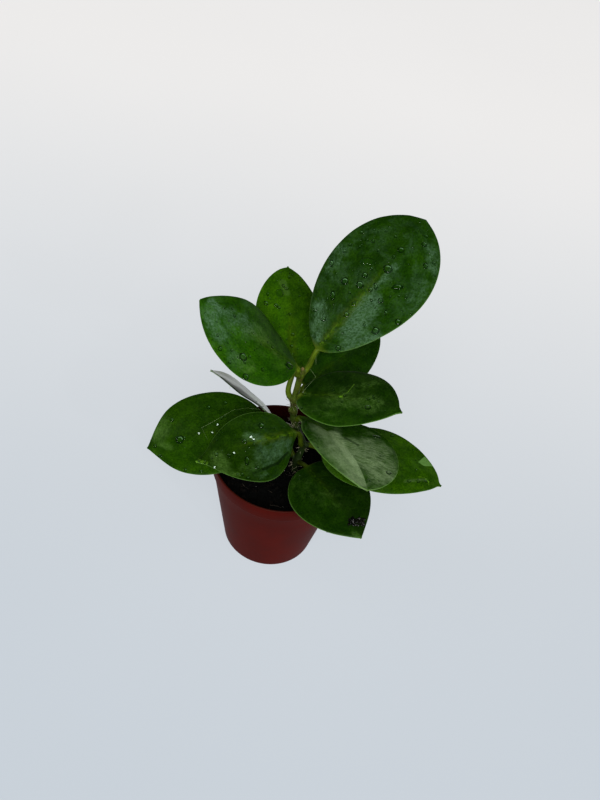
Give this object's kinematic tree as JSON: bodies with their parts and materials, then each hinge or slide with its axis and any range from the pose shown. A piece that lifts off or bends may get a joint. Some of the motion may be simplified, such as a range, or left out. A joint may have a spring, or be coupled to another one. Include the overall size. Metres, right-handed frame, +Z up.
{
  "type": "potted hoya",
  "caption": "Young hoya plant with broad, pointed, glossy leaves on a zig-zag stem, rooted in dark soil in a small tapered plastic nursery pot; stands on its flat base.",
  "frame": {"origin": "middle of the pot's base, on the surface that it stands on", "axes": "+Z up along the pot's axis; -Y is the front of the plant, towards the viewer of the picture; +X is to the viewer's right"},
  "size_m": [0.1239, 0.1025, 0.1465],
  "materials": {
    "pot_plastic": "satin moulded plastic, red-brown",
    "potting_soil": "damp dark potting mix, rough",
    "stem_green": "olive green stem with brown nodes",
    "leaf_dark": "glossy dark green leaf",
    "leaf_light": "glossy mid green leaf",
    "leaf_silver": "glossy green leaf with a silver sheen"
  },
  "bodies": {
    "root": {"pot": "pot_plastic", "soil": "potting_soil", "stem": "stem_green", "leaf_crown_right": "leaf_dark", "leaf_crown_left": "leaf_dark", "leaf_upper_back": "leaf_light", "leaf_upper_right": "leaf_dark", "leaf_middle_back": "leaf_dark", "leaf_middle_right": "leaf_silver", "leaf_side_small": "leaf_dark", "leaf_lower_front": "leaf_dark", "leaf_lower_right": "leaf_light", "leaf_bottom_left": "leaf_dark", "leaf_bottom_front": "leaf_dark"}
  },
  "joints": []
}
